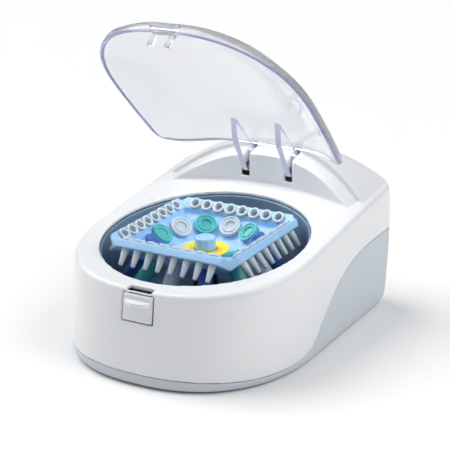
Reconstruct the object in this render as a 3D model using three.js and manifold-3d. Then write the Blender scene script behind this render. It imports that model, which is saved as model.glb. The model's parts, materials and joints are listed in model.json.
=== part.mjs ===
// A personal bench centrifuge with its lid raised and its rotor loaded.
// Millimetres, +Z up, the front facing -Y. Pieces are placed from the rotor's axis at table level.
// The last step moves them all together, so that the object stands centred over the origin.

import * as THREE from 'three';
import { mergeVertices } from 'three/addons/utils/BufferGeometryUtils.js';
import { LoftGeometry } from 'three/addons/geometries/LoftGeometry.js';
import Module from 'manifold-3d';

const wasm = await Module();
wasm.setup();

// ---- driving dimensions ------------------------------------------------------------------

const GAP = 0.3;                 // clearance between pieces that touch
const FAR = 200;                 // longer than anything it has to cut
const FOOTPRINT_MIDDLE = 16;     // how far behind the rotor's axis the footprint's middle lies

// Housing: a round-fronted body whose deck rises towards the back
const WALL = 2.6;
const UNDERSIDE = 1.2;           // the base floats this high on its feet
const FOOT_HALF_WIDTH = 81;
const DECK_HALF_WIDTH = 80;
const FOOT_FRONT_REACH = 89.5;
const DECK_FRONT_REACH = 80.5;
const FRONT_POWER = 2.35;        // roundness of the front: 2 is an ellipse, more is squarer
const REAR_REACH = 121.5;
const REAR_CORNER = 12;
const REAR_TUCK = 9.5;           // how far the rear wall leans in at the table
const DECK_HEIGHT = 69.8;        // on the rotor's axis
const DECK_SLOPE = 0.12;
const DECK_EDGE_RADIUS = 3;

// Hump behind the bowl: an arch across the body, faced by an upright curved wall
const HUMP_HALF_WIDTH = 75;
const HUMP_CROWN = 107;
const HUMP_CROWN_Y = 100;
const HUMP_CROWN_FALL = 0.012;   // drop per square millimetre away from the crown
const ARCH_POWER = 2.4;
const ARCH_WALL_Y = 84.5;
const ARCH_WALL_RADIUS = 149;
const LID_REBATE = 3.5;          // the front strip of the hump is lower, to take the lid's edge
const REBATE_LENGTH = 12;

// Bowl
const BOWL_RADIUS = 68.1;
const BOWL_FLOOR = 26;
const SHAFT_HOLE = 7;

// Lid, described closed and then swung open about its hinge
const LID_HALF_WIDTH = 72;
const LID_REAR_NARROWING = 5;
const LID_FRONT_REACH = 77.5;
const LID_POWER = 2.4;
const LID_ARCH_POWER = 3.2;
const LID_SKIRT = 5;
const LID_RISE = 25.8;
const LID_PEAK_Y = 88;
const LID_WALL = 2.8;
const LID_OVERLAP = 4;           // how far the lid's rear edge lies over the hump
const LID_OPEN_ANGLE = THREE.MathUtils.degToRad(52.5);
const HINGE_Y = 92;
const HINGE_Z = 100;
const HINGE_X = 16.7;
const SLOT_WIDTH = 6.2;
const SLOT_FLOOR = 84;
const HINGE_PIN_RADIUS = 1.4;

// Rotor: both kinds of tube lean outwards at the same angle
const TUBE_LEAN = THREE.MathUtils.degToRad(40);
const STRIP_PITCH = 9;
const STRIP_TUBES = 8;
const STRIP_RADIUS = 40.4;       // mouth of a strip tube, from the rotor's axis
const STRIP_HEIGHT = 75;
const CORNER_REACH = 60.5;       // from the axis to the rotor's cut-off corners
const MICROTUBES = 12;
const CAP_RADIUS = 31.5;         // centre of a microtube's cap, from the rotor's axis
const CAP_HEIGHT = 66.6;
const SHAFT_RADIUS = 2.5;

// Latch on the front wall
const LATCH_HALF_WIDTH = 11.2;
const LATCH_BOTTOM = 40;
const LATCH_TOP = 58.2;
const LATCH_GAP = 0.6;
const LATCH_HOOK_X = 6;

// ---- colours -----------------------------------------------------------------------------

const LOOKS = {
  white: { color: 0xf2f3f4, roughness: 0.35, metalness: 0 },
  grey: { color: 0xc3c9ce, roughness: 0.42, metalness: 0 },
  bowl: { color: 0x6f7f90, roughness: 0.4, metalness: 0 },
  rotor: { color: 0x8fc1f2, roughness: 0.35, metalness: 0 },
  yellow: { color: 0xf2d21f, roughness: 0.5, metalness: 0 },
  strip: { color: 0xeef3fa, roughness: 0.25, metalness: 0 },
  clearTube: { color: 0xdbe6f2, roughness: 0.25, metalness: 0 },
  tealTube: { color: 0x4fc6c9, roughness: 0.3, metalness: 0 },
  blueTube: { color: 0x3f66c4, roughness: 0.3, metalness: 0 },
  lid: { color: 0xe6e8f4, roughness: 0.08, metalness: 0 },
  steel: { color: 0xb9bcc0, roughness: 0.3, metalness: 1 },
  darkSteel: { color: 0x5a5d61, roughness: 0.4, metalness: 1 },
  black: { color: 0x1c1d1f, roughness: 0.5, metalness: 0 },
  rubber: { color: 0x2a2b2d, roughness: 0.85, metalness: 0 },
  board: { color: 0x1f6b3a, roughness: 0.5, metalness: 0 },
};

// ---- solids: boolean work ----------------------------------------------------------------

function toSolid(geometry) {
  const bare = new THREE.BufferGeometry();
  bare.setAttribute('position', geometry.attributes.position);
  bare.setIndex(geometry.index);
  const merged = mergeVertices(bare, 1e-4);
  const corners = merged.index.array;
  const triangles = [];
  for (let i = 0; i < corners.length; i += 3) {
    const [a, b, c] = [corners[i], corners[i + 1], corners[i + 2]];
    if (a !== b && b !== c && c !== a) triangles.push(a, b, c);
  }
  return new wasm.Manifold(new wasm.Mesh({
    numProp: 3,
    vertProperties: new Float32Array(merged.attributes.position.array),
    triVerts: new Uint32Array(triangles),
  }));
}

function toGeometry(solid) {
  const mesh = solid.getMesh();
  const geometry = new THREE.BufferGeometry();
  geometry.setAttribute('position', new THREE.BufferAttribute(mesh.vertProperties, 3));
  geometry.setIndex(new THREE.BufferAttribute(mesh.triVerts, 1));
  const flat = geometry.toNonIndexed();
  flat.computeVertexNormals();
  return flat;
}

function join(solids) {
  return solids.reduce((whole, solid) => whole.add(solid));
}

function cut(solid, tools) {
  return tools.reduce((left, tool) => left.subtract(tool), solid);
}

// ---- plain shapes ------------------------------------------------------------------------

function block(x0, x1, y0, y1, z0, z1) {
  const box = new THREE.BoxGeometry(x1 - x0, y1 - y0, z1 - z0);
  return box.translate((x0 + x1) / 2, (y0 + y1) / 2, (z0 + z1) / 2);
}

// An upright cylinder or cone standing on z0.
function post(x, y, z0, z1, radius, sides = 24, topRadius = radius) {
  const cylinder = new THREE.CylinderGeometry(topRadius, radius, z1 - z0, sides);
  return cylinder.rotateX(Math.PI / 2).translate(x, y, (z0 + z1) / 2);
}

function rodAlongX(x0, x1, y, z, radius, sides = 16) {
  const cylinder = new THREE.CylinderGeometry(radius, radius, x1 - x0, sides);
  return cylinder.rotateZ(Math.PI / 2).translate((x0 + x1) / 2, y, z);
}

function rodAlongY(x, y0, y1, z, radius, sides = 16) {
  return new THREE.CylinderGeometry(radius, radius, y1 - y0, sides).translate(x, (y0 + y1) / 2, z);
}

// A profile of [radius, height] pairs turned about the Z axis.
function turned(profile, sides) {
  const points = profile.map(([radius, height]) => new THREE.Vector2(radius, height));
  return new THREE.LatheGeometry(points, sides).rotateX(Math.PI / 2);
}

// A profile of [distance, height] pairs carried round a square, mitred at the corners.
function squareRing(profile) {
  const points = profile.map(([distance, height]) => new THREE.Vector2(distance * Math.SQRT2, height));
  return new THREE.LatheGeometry(points, 4, Math.PI / 4).rotateX(Math.PI / 2);
}

// A side view in (y, z), pulled from x0 to x1.
function slab(shape, x0, x1) {
  const solid = new THREE.ExtrudeGeometry(shape, { depth: x1 - x0, bevelEnabled: false, curveSegments: 10 });
  const toSide = new THREE.Matrix4().makeBasis(
    new THREE.Vector3(0, 1, 0),
    new THREE.Vector3(0, 0, 1),
    new THREE.Vector3(1, 0, 0),
  );
  return solid.applyMatrix4(toSide).translate(x0, 0, 0);
}

function outline(pairs) {
  return new THREE.Shape(pairs.map(([u, v]) => new THREE.Vector2(u, v)));
}

function mix(a, b, share) {
  return a + (b - a) * share;
}

// ---- housing skin ------------------------------------------------------------------------

function deckZ(y) {
  return DECK_HEIGHT + DECK_SLOPE * y;
}

// Plan view: a superellipse front, straight sides and two rounded rear corners.
function planOutline(halfWidth, frontReach, rearReach, corner) {
  const frontSteps = 24;
  const cornerSteps = 4;
  const points = [];
  for (let i = 0; i <= frontSteps; i += 1) {
    const angle = Math.PI * (1 + i / frontSteps);
    const across = Math.abs(Math.cos(angle)) ** (2 / FRONT_POWER);
    const ahead = Math.abs(Math.sin(angle)) ** (2 / FRONT_POWER);
    points.push([halfWidth * Math.sign(Math.cos(angle)) * across, -frontReach * ahead]);
  }
  for (const side of [1, -1]) {
    for (let i = 0; i <= cornerSteps; i += 1) {
      const share = side > 0 ? i / cornerSteps : 1 - i / cornerSteps;
      const angle = (Math.PI / 2) * share;
      const x = halfWidth - corner + corner * Math.cos(angle);
      points.push([side * x, rearReach - corner + corner * Math.sin(angle)]);
    }
  }
  return points;
}

// One ring of the body: share runs from 0 at the foot to 1 at the deck.
function bodyRing({ share, tuck, drop }, inset) {
  const lean = REAR_TUCK * (1 - share / 0.75) ** 2;
  const ring = planOutline(
    mix(FOOT_HALF_WIDTH, DECK_HALF_WIDTH, share) - tuck - inset,
    mix(FOOT_FRONT_REACH, DECK_FRONT_REACH, share) - tuck - inset,
    REAR_REACH - lean - tuck - inset,
    REAR_CORNER - inset,
  );
  const floor = UNDERSIDE + inset;
  return ring.map(([x, y]) => new THREE.Vector3(x, y, mix(floor, deckZ(y) - inset, share) - drop));
}

// The body without its hump. With an inset it is the space inside the walls.
function bodySolid(inset) {
  const levels = [
    { share: 0, tuck: 3, drop: 0 },
    { share: 0.035, tuck: 0.8, drop: 0 },
    { share: 0.09, tuck: 0, drop: 0 },
    { share: 0.5, tuck: 0, drop: 0 },
  ];
  const edgeSteps = inset > 0 ? 1 : 3;
  for (let i = 0; i <= edgeSteps; i += 1) {
    const angle = (Math.PI / 2) * (i / edgeSteps);
    levels.push({
      share: 1,
      tuck: DECK_EDGE_RADIUS * (1 - Math.cos(angle)),
      drop: DECK_EDGE_RADIUS * (1 - Math.sin(angle)),
    });
  }
  const rings = levels.map((level) => bodyRing(level, inset));
  return toSolid(new LoftGeometry(rings, { closed: true, capStart: true, capEnd: true }));
}

function humpCrown(y) {
  return HUMP_CROWN - HUMP_CROWN_FALL * (y - HUMP_CROWN_Y) ** 2;
}

// The arch as a loft from front to back, lowered all over by drop.
function humpLoft(drop, rearReach) {
  const archSteps = 16;
  const rearEdge = 4;
  const stations = [
    [56, 0],
    [82, 0],
    [94, 0],
    [105, 0],
    [rearReach - rearEdge, 0],
    [rearReach - rearEdge * 0.3, rearEdge * 0.3],
    [rearReach, rearEdge],
  ];
  const sections = stations.map(([y, edgeDrop]) => {
    const bottom = deckZ(y) - 14;
    const section = [new THREE.Vector3(-HUMP_HALF_WIDTH, y, bottom)];
    for (let i = 0; i <= archSteps; i += 1) {
      const across = Math.sin(Math.PI * (i / archSteps - 0.5));
      const height = (humpCrown(y) - deckZ(y)) * (1 - Math.abs(across) ** ARCH_POWER);
      const z = deckZ(y) + height - drop - edgeDrop;
      section.push(new THREE.Vector3(HUMP_HALF_WIDTH * across, y, z));
    }
    section.push(new THREE.Vector3(HUMP_HALF_WIDTH, y, bottom));
    return section;
  });
  return toSolid(new LoftGeometry(sections, { closed: true, capStart: true, capEnd: true }));
}

// Everything in front of the curved arch wall, as an upright sector of a big cylinder.
function aheadOfArch(radius) {
  const steps = 16;
  const centreY = ARCH_WALL_Y - ARCH_WALL_RADIUS;
  const spread = Math.asin(110 / radius);
  const points = [];
  for (let i = 0; i <= steps; i += 1) {
    const angle = spread * (1 - (2 * i) / steps);
    points.push([radius * Math.sin(angle), centreY + radius * Math.cos(angle)]);
  }
  points.push([-110, -130], [110, -130]);
  const sector = new THREE.ExtrudeGeometry(outline(points), { depth: FAR, bevelEnabled: false });
  return toSolid(sector);
}

// Upright prism of the plan at deck level, to round the hump's rear corners.
function planPrism(inset) {
  const plan = planOutline(
    DECK_HALF_WIDTH - inset,
    DECK_FRONT_REACH - inset,
    REAR_REACH - 1 - inset,
    REAR_CORNER - inset,
  );
  return toSolid(new THREE.ExtrudeGeometry(outline(plan), { depth: FAR, bevelEnabled: false }));
}

function humpSolid() {
  const rear = REAR_REACH - 1;
  const rebated = humpLoft(LID_REBATE, rear).subtract(aheadOfArch(ARCH_WALL_RADIUS));
  const full = humpLoft(0, rear).subtract(aheadOfArch(ARCH_WALL_RADIUS + REBATE_LENGTH));
  return rebated.add(full).intersect(planPrism(0.2));
}

function humpSpace() {
  const space = humpLoft(LID_REBATE + WALL, REAR_REACH - 1 - WALL);
  return space.subtract(aheadOfArch(ARCH_WALL_RADIUS + WALL)).intersect(planPrism(WALL + 2));
}

// Everything under the parting line between base and upper housing; lift moves the line up.
function belowSeam(lift) {
  const line = new THREE.SplineCurve([
    new THREE.Vector2(-100, 9.5),
    new THREE.Vector2(-50, 6.2),
    new THREE.Vector2(-10, 9.5),
    new THREE.Vector2(13, 27),
    new THREE.Vector2(38, 43),
    new THREE.Vector2(70, 51.5),
    new THREE.Vector2(130, 53),
  ]);
  const top = line.getPoints(24).map((point) => [point.x, point.y + lift]);
  const side = outline([[-100, -20], ...top, [130, -20]].reverse());
  return toSolid(slab(side, -FAR / 2, FAR / 2));
}

// ---- screw posts, feet and rear fittings: places shared by several pieces -------------------

const CORNERS = [
  { name: 'front_left', x: -62, y: -49 },
  { name: 'front_right', x: 62, y: -49 },
  { name: 'rear_left', x: -66, y: 94 },
  { name: 'rear_right', x: 66, y: 94 },
];
const FEET = [
  { name: 'front_left', x: -46, y: -62 },
  { name: 'front_right', x: 46, y: -62 },
  { name: 'rear_left', x: -60, y: 78 },
  { name: 'rear_right', x: 60, y: 78 },
];
const SCREW_HEAD = 3.4;
const SCREW_SHANK = 1.5;
const FOOT_RADIUS = 6.5;
const INLET = { x: 34, z: 20, radius: 5.5 };
const ROCKER = { x: -32, z: 22, halfWidth: 10, halfHeight: 7, pivotY: 115.5, tilt: 0.105 };
const ISOLATOR_RADIUS = 34;
const MOTOR_PLATE_Z = 20;

// ---- upper housing -----------------------------------------------------------------------

function screwPosts() {
  return CORNERS.map(({ x, y }) => toSolid(post(x, y, UNDERSIDE + WALL + GAP, deckZ(y) - 1, 4.5, 10)));
}

function screwBores() {
  return CORNERS.map(({ x, y }) => toSolid(post(x, y, 0, 22, SCREW_SHANK + 0.4, 8)));
}

// Cheeks either side of each hinge slot carry the hinge pins.
function hingeCheeks() {
  const cheeks = [];
  for (const side of [-1, 1]) {
    const centre = side * HINGE_X;
    const reach = SLOT_WIDTH / 2 + 5;
    cheeks.push(toSolid(block(centre - reach, centre + reach, HINGE_Y - 5, HINGE_Y + 5, 92, 101.5)));
  }
  return cheeks;
}

function hingeSlots() {
  const half = SLOT_WIDTH / 2;
  return [-1, 1].flatMap((side) => {
    const centre = side * HINGE_X;
    return [
      toSolid(block(centre - half, centre + half, 74, 102, SLOT_FLOOR, 125)),
      toSolid(rodAlongX(centre - half - 4, centre + half + 4, HINGE_Y, HINGE_Z, HINGE_PIN_RADIUS + 0.4)),
    ];
  });
}

function latchWindow() {
  return toSolid(block(-LATCH_HALF_WIDTH, LATCH_HALF_WIDTH, -100, -72, LATCH_BOTTOM, LATCH_TOP));
}

// The slot in the deck that the lid's two hooks drop through.
function hookSlot() {
  return block(-9, 9, -79.2, -74.8, 50, 75);
}

function upperHousing() {
  const skin = bodySolid(0).add(humpSolid());
  const space = bodySolid(WALL).add(humpSpace());
  const shell = join([skin.subtract(space), ...screwPosts(), ...hingeCheeks()]);
  return cut(shell, [
    belowSeam(GAP / 2),
    toSolid(post(0, 0, 0, 120, BOWL_RADIUS, 48)),
    ...screwBores(),
    ...hingeSlots(),
    latchWindow(),
    toSolid(hookSlot()),
  ]);
}

// ---- lower base --------------------------------------------------------------------------

function footPockets() {
  return FEET.map(({ x, y }) => toSolid(post(x, y, -5, UNDERSIDE + 1.5, FOOT_RADIUS + GAP + 0.2, 14)));
}

function baseScrewHoles() {
  return CORNERS.flatMap(({ x, y }) => [
    toSolid(post(x, y, -5, 10, SCREW_SHANK + 0.4, 8)),
    toSolid(post(x, y, -5, UNDERSIDE + 1.2, SCREW_HEAD + GAP + 0.1, 12)),
  ]);
}

function rearOpenings() {
  const { halfWidth, halfHeight } = ROCKER;
  const rocker = block(
    ROCKER.x - halfWidth, ROCKER.x + halfWidth, 100, 130, ROCKER.z - halfHeight, ROCKER.z + halfHeight,
  );
  return [toSolid(rodAlongY(INLET.x, 100, 130, INLET.z, INLET.radius, 20)), toSolid(rocker)];
}

// Upright cooling slots through the rear wall.
function ventSlots() {
  const slots = [];
  for (let i = -3; i <= 3; i += 1) {
    slots.push(toSolid(block(i * 5 - 1.2, i * 5 + 1.2, 105, 130, 30, 44)));
  }
  return slots;
}

// Low ribs on the floor that the circuit board stands on.
function boardRibs() {
  return [-24, 24].map((x) => toSolid(block(x - 2, x + 2, 82, 100, UNDERSIDE + 1, 8)));
}

function lowerBase() {
  const shell = bodySolid(0).intersect(belowSeam(-GAP / 2)).subtract(bodySolid(WALL));
  return cut(join([shell, ...boardRibs()]), [
    ...footPockets(),
    ...baseScrewHoles(),
    ...rearOpenings(),
    ...ventSlots(),
  ]);
}

// ---- bowl --------------------------------------------------------------------------------

function rotorChamber() {
  const wall = 2;
  const profile = [
    [SHAFT_HOLE, BOWL_FLOOR],
    [SHAFT_HOLE, BOWL_FLOOR - wall],
    [57, BOWL_FLOOR - wall],
    [63.5, BOWL_FLOOR + 0.5],
    [66.6, BOWL_FLOOR + 8],
    [69.6, 90],
    [67.6, 90],
    [64.6, BOWL_FLOOR + 8],
    [62, BOWL_FLOOR + 2.3],
    [56, BOWL_FLOOR],
    [SHAFT_HOLE, BOWL_FLOOR],
  ];
  const under = outline([
    [-FAR / 2, deckZ(-FAR / 2) - WALL - GAP],
    [FAR / 2, deckZ(FAR / 2) - WALL - GAP],
    [FAR / 2, FAR],
    [-FAR / 2, FAR],
  ]);
  return toSolid(turned(profile, 40)).subtract(toSolid(slab(under, -FAR / 2, FAR / 2)));
}

// ---- drive -------------------------------------------------------------------------------

function motorBody() {
  return turned([
    [0, 5],
    [16, 5],
    [17.5, 6.5],
    [17.5, 18.4],
    [16, MOTOR_PLATE_Z - GAP],
    [SHAFT_RADIUS + 1, MOTOR_PLATE_Z - GAP],
    [SHAFT_RADIUS + 1, 12],
    [0, 12],
  ], 20);
}

function motorPlate() {
  const plate = toSolid(turned([
    [5, MOTOR_PLATE_Z],
    [41, MOTOR_PLATE_Z],
    [41, MOTOR_PLATE_Z + 2],
    [5, MOTOR_PLATE_Z + 2],
    [5, MOTOR_PLATE_Z],
  ], 20));
  const holes = isolatorPlaces().map(([x, y]) => toSolid(post(x, y, 10, 30, 3, 10)));
  return cut(plate, holes);
}

function isolatorPlaces() {
  return [90, 210, 330].map((degrees) => {
    const angle = THREE.MathUtils.degToRad(degrees);
    return [ISOLATOR_RADIUS * Math.cos(angle), ISOLATOR_RADIUS * Math.sin(angle)];
  });
}

// A rubber post with a neck that snaps through the motor plate.
function isolator() {
  return turned([
    [0, UNDERSIDE + WALL + GAP],
    [6, UNDERSIDE + WALL + GAP],
    [6, 9],
    [4.8, 12],
    [6, 15],
    [6, MOTOR_PLATE_Z - GAP],
    [2.6, MOTOR_PLATE_Z - GAP],
    [2.6, MOTOR_PLATE_Z + 2 + GAP],
    [0, MOTOR_PLATE_Z + 2 + GAP],
  ], 10);
}

function shaft() {
  return turned([
    [0, 13],
    [SHAFT_RADIUS, 13],
    [SHAFT_RADIUS, 65],
    [SHAFT_RADIUS - 0.6, 66],
    [0, 66],
  ], 12);
}

// The cone the rotor sits on, pressed on the shaft.
function driveHub() {
  const bore = SHAFT_RADIUS + GAP;
  return turned([
    [bore, 28],
    [13, 28],
    [13, 31],
    [9, 33],
    [7, 45.2],
    [bore, 45.2],
    [bore, 28],
  ], 16);
}

// ---- rotor -------------------------------------------------------------------------------

// Unit steps in the plane through the axis: down a tube, and out across its mouth.
const DOWN = { out: Math.sin(TUBE_LEAN), up: -Math.cos(TUBE_LEAN) };
const ACROSS = { out: Math.cos(TUBE_LEAN), up: Math.sin(TUBE_LEAN) };

function fromMouth(radius, height, down, across) {
  return [
    radius + down * DOWN.out + across * ACROSS.out,
    height + down * DOWN.up + across * ACROSS.up,
  ];
}

// Carries a piece built on +Z, mouth at the origin, to its leaning place on the rotor.
function leanOut(geometry, radius, height, turn, along = 0) {
  geometry.rotateY(-TUBE_LEAN);
  geometry.translate(radius, along, height);
  return geometry.rotateZ(turn);
}

const STRIP_SEAT = 2;            // from a strip tube's mouth down to the rotor's face
const CAP_SEAT = 3.4;
const PLATE_DEPTH = 5.3;
const SIDES = [
  { name: 'right', turn: 0 },
  { name: 'back', turn: Math.PI / 2 },
  { name: 'left', turn: Math.PI },
  { name: 'front', turn: -Math.PI / 2 },
];

function stripOffsets() {
  return Array.from({ length: STRIP_TUBES }, (_, i) => (i - (STRIP_TUBES - 1) / 2) * STRIP_PITCH);
}

function microtubeTurns() {
  return Array.from({ length: MICROTUBES }, (_, i) => (2 * Math.PI * i) / MICROTUBES);
}

function rotorHub() {
  return toSolid(turned([
    [SHAFT_RADIUS + 0.5, 45.5],
    [10, 45.5],
    [16, 50],
    fromMouth(CAP_RADIUS, CAP_HEIGHT, CAP_SEAT + PLATE_DEPTH, -8),
    fromMouth(CAP_RADIUS, CAP_HEIGHT, CAP_SEAT + PLATE_DEPTH, 7),
    fromMouth(CAP_RADIUS, CAP_HEIGHT, CAP_SEAT, 7),
    fromMouth(CAP_RADIUS, CAP_HEIGHT, CAP_SEAT, -9),
    [21.5, 56.5],
    [20.5, 60.2],
    [SHAFT_RADIUS + 0.5, 60.2],
    [SHAFT_RADIUS + 0.5, 45.5],
  ], 32));
}

// The square dish round the hub, whose outer edge is the pale band.
function rotorFrame() {
  const frame = toSolid(squareRing([
    [30, 58],
    [33.5, 59.6],
    fromMouth(STRIP_RADIUS, STRIP_HEIGHT, STRIP_SEAT + PLATE_DEPTH, 4.5),
    fromMouth(STRIP_RADIUS, STRIP_HEIGHT, STRIP_SEAT, 4.5),
    fromMouth(STRIP_RADIUS, STRIP_HEIGHT, STRIP_SEAT, -3.7),
    [38, 67.6],
    [30, 60.9],
    [30, 58],
  ]));
  const across = CORNER_REACH;
  const corners = block(-across, across, -across, across, 20, 120).rotateZ(Math.PI / 4);
  return frame.intersect(toSolid(corners));
}

function microtubeBores() {
  return microtubeTurns().map((turn) => {
    return toSolid(leanOut(post(0, 0, -45, 12, 6.1, 10), CAP_RADIUS, CAP_HEIGHT, turn));
  });
}

function stripBores() {
  return SIDES.flatMap(({ turn }) => stripOffsets().map((along) => {
    return toSolid(leanOut(post(0, 0, -14, 8, 3.7, 8), STRIP_RADIUS, STRIP_HEIGHT, turn, along));
  }));
}

function rotor() {
  return cut(rotorHub().add(rotorFrame()), [...microtubeBores(), ...stripBores()]);
}

function rotorLabel() {
  return turned([[7.6, 60.5], [19.8, 60.5], [19.8, 60.9], [7.6, 60.9], [7.6, 60.5]], 24);
}

function rotorKnob() {
  return turned([
    [0, 67],
    [SHAFT_RADIUS + 0.4, 67],
    [SHAFT_RADIUS + 0.4, 60.6],
    [6.95, 60.6],
    [6.95, 68.2],
    [6.2, 69],
    [0, 69],
  ], 20);
}

// ---- tubes -------------------------------------------------------------------------------

// One open tube of a strip, mouth up at the origin.
function stripTube() {
  return turned([
    [0, -18.4],
    [1.4, -17.4],
    [3.05, -1.7],
    [4.1, -1.7],
    [4.1, 0],
    [2.6, 0],
    [0, -16.4],
  ], 8);
}

function tubeStrip(turn) {
  const tubes = stripOffsets().map((along) => {
    return toSolid(leanOut(stripTube(), STRIP_RADIUS, STRIP_HEIGHT, turn, along));
  });
  const links = stripOffsets().slice(1).map((along) => {
    const middle = along - STRIP_PITCH / 2;
    const link = block(-1.4, 1.4, -1.4, 1.4, -1.5, -0.3);
    return toSolid(leanOut(link, STRIP_RADIUS, STRIP_HEIGHT, turn, middle));
  });
  return join([...tubes, ...links]);
}

// A capped microtube, cap top at the origin: the cap has a sunken middle.
function microtube() {
  return turned([
    [0, -40],
    [1.9, -39],
    [4.9, -20],
    [5.25, -2.6],
    [6.7, -2.6],
    [6.7, 0],
    [4.4, 0],
    [3.8, -1.3],
    [0, -1.3],
  ], 10);
}

// ---- lid ---------------------------------------------------------------------------------

function lidHalfWidth(y) {
  if (y >= 0) return LID_HALF_WIDTH - LID_REAR_NARROWING * (y / ARCH_WALL_Y) ** 2;
  return LID_HALF_WIDTH * (1 - (-y / LID_FRONT_REACH) ** LID_POWER) ** (1 / LID_POWER);
}

function lidRise(y) {
  const share = Math.max(0, (LID_PEAK_Y - y) / (LID_PEAK_Y + LID_FRONT_REACH));
  return LID_SKIRT + (LID_RISE - LID_SKIRT) * (1 - share ** 3.8) ** 0.6;
}

// The dome as a loft from front to back. The inset one is the hollow under it.
function domeLoft(inset) {
  const archSteps = 14;
  const stations = [87.5, 80, 69, 55, 37, 17].map((degrees) => {
    return -LID_FRONT_REACH * Math.sin(THREE.MathUtils.degToRad(degrees));
  });
  stations.push(4, 30, 54, 74, 96);
  const sections = stations.map((y) => {
    const halfWidth = lidHalfWidth(y) * (1 - inset / LID_HALF_WIDTH);
    const place = y < 0 ? y * (1 - inset / LID_FRONT_REACH) : y + inset;
    const floor = deckZ(place) + 0.5 - inset;
    const section = [new THREE.Vector3(-halfWidth, place, floor)];
    for (let i = 0; i <= archSteps; i += 1) {
      const across = Math.sin(Math.PI * (i / archSteps - 0.5));
      const height = LID_SKIRT + (lidRise(y) - LID_SKIRT) * (1 - Math.abs(across) ** LID_ARCH_POWER);
      section.push(new THREE.Vector3(halfWidth * across, place, deckZ(y) + height - inset));
    }
    section.push(new THREE.Vector3(halfWidth, place, floor));
    return section;
  });
  return toSolid(new LoftGeometry(sections, { closed: true, capStart: true, capEnd: true }));
}

// The dome's skin, grown by a clearance inwards and at its rear edge.
function lidSkin(clearance) {
  const shell = domeLoft(0).subtract(domeLoft(LID_WALL + clearance));
  return shell.intersect(aheadOfArch(ARCH_WALL_RADIUS + LID_OVERLAP + clearance));
}

function lid() {
  const humpRoom = humpLoft(LID_REBATE - 0.4, REAR_REACH).subtract(aheadOfArch(ARCH_WALL_RADIUS - 0.5));
  return lidSkin(0).subtract(humpRoom);
}

// A kite-shaped arm: its upper edge lies along the lid, and its tail reaches back to the lid switch.
function hingeArm(side) {
  const knuckle = 3.6;
  const kite = new THREE.Shape();
  kite.moveTo(60, 99);
  kite.lineTo(68, 90.5);
  kite.lineTo(97, 86.6);
  kite.lineTo(100, 88.6);
  kite.lineTo(HINGE_Y + knuckle, HINGE_Z - 1);
  kite.absarc(HINGE_Y, HINGE_Z, knuckle, 0, Math.PI / 2, false);
  kite.lineTo(86.5, 102.4);
  kite.closePath();
  const centre = side * HINGE_X;
  const arm = toSolid(slab(kite, centre - 2.1, centre + 2.1)).subtract(lidSkin(GAP));
  return arm.subtract(toSolid(rodAlongX(centre - 4, centre + 4, HINGE_Y, HINGE_Z, HINGE_PIN_RADIUS + 0.4)));
}

function hingePin(side) {
  const centre = side * HINGE_X;
  const half = SLOT_WIDTH / 2 + 3.6;
  return rodAlongX(centre - half, centre + half, HINGE_Y, HINGE_Z, HINGE_PIN_RADIUS);
}

// A tab under the lid's front rim, with two hooks that reach down through the deck.
function lidCatch() {
  const rim = deckZ(-LID_FRONT_REACH) + 0.5;
  const behind = -LID_FRONT_REACH - GAP - 0.2;
  const tab = toSolid(block(-10, 10, -82, behind, rim + 0.4, rim + 3));
  const shelf = toSolid(block(-8.6, 8.6, -78.9, -75.2, rim - 1.6, rim - GAP));
  const stem = toSolid(block(-8.6, 8.6, -78.9, behind, rim - 1, rim + 1));
  const hooks = [-1, 1].flatMap((side) => {
    const centre = side * LATCH_HOOK_X;
    const hook = outline([
      [-77, rim - 1],
      [-77, rim - 7],
      [-77.8, rim - 7.8],
      [-77.8, rim - 8.6],
      [-76.6, rim - 10.4],
      [-75.4, rim - 10.4],
      [-75.4, rim - 1],
    ]);
    return [toSolid(slab(hook, centre - 1.8, centre + 1.8))];
  });
  return join([tab, shelf, stem, ...hooks]);
}

// Swings a piece of the lid from closed to open about the hinge pins.
function openLid(solid) {
  const geometry = toGeometry(solid);
  geometry.translate(0, -HINGE_Y, -HINGE_Z);
  geometry.rotateX(-LID_OPEN_ANGLE);
  return geometry.translate(0, HINGE_Y, HINGE_Z);
}

// ---- latch -------------------------------------------------------------------------------

const LATCH_PIVOT = { y: -79.6, z: 42.4 };

// The button is a piece of the front wall with a half-moon lip, thinned behind to clear the hooks.
function latchPanel() {
  const half = LATCH_HALF_WIDTH - LATCH_GAP;
  const window = toSolid(block(-half, half, -100, -76, LATCH_BOTTOM + LATCH_GAP, LATCH_TOP - LATCH_GAP));
  const face = bodySolid(0).subtract(bodySolid(WALL)).intersect(window).subtract(toSolid(hookSlot()));
  const lipSteps = 12;
  const lip = [];
  for (let i = 0; i <= lipSteps; i += 1) {
    const angle = Math.PI * (1 + i / lipSteps);
    lip.push([9.2 * Math.cos(angle), -80 + 6.6 * Math.sin(angle)]);
  }
  const shelf = new THREE.ExtrudeGeometry(outline(lip), { depth: 2.6, bevelEnabled: false });
  const boss = toSolid(block(-half + 2, half - 2, -82, -77.4, 40.8, 44.4));
  const bore = toSolid(rodAlongX(-20, 20, LATCH_PIVOT.y, LATCH_PIVOT.z, 1.2, 12));
  return face.add(toSolid(shelf.translate(0, 0, 51.4))).add(boss).subtract(bore);
}

function latchPin() {
  return rodAlongX(-10.2, 10.2, LATCH_PIVOT.y, LATCH_PIVOT.z, 0.85, 10);
}

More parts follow.
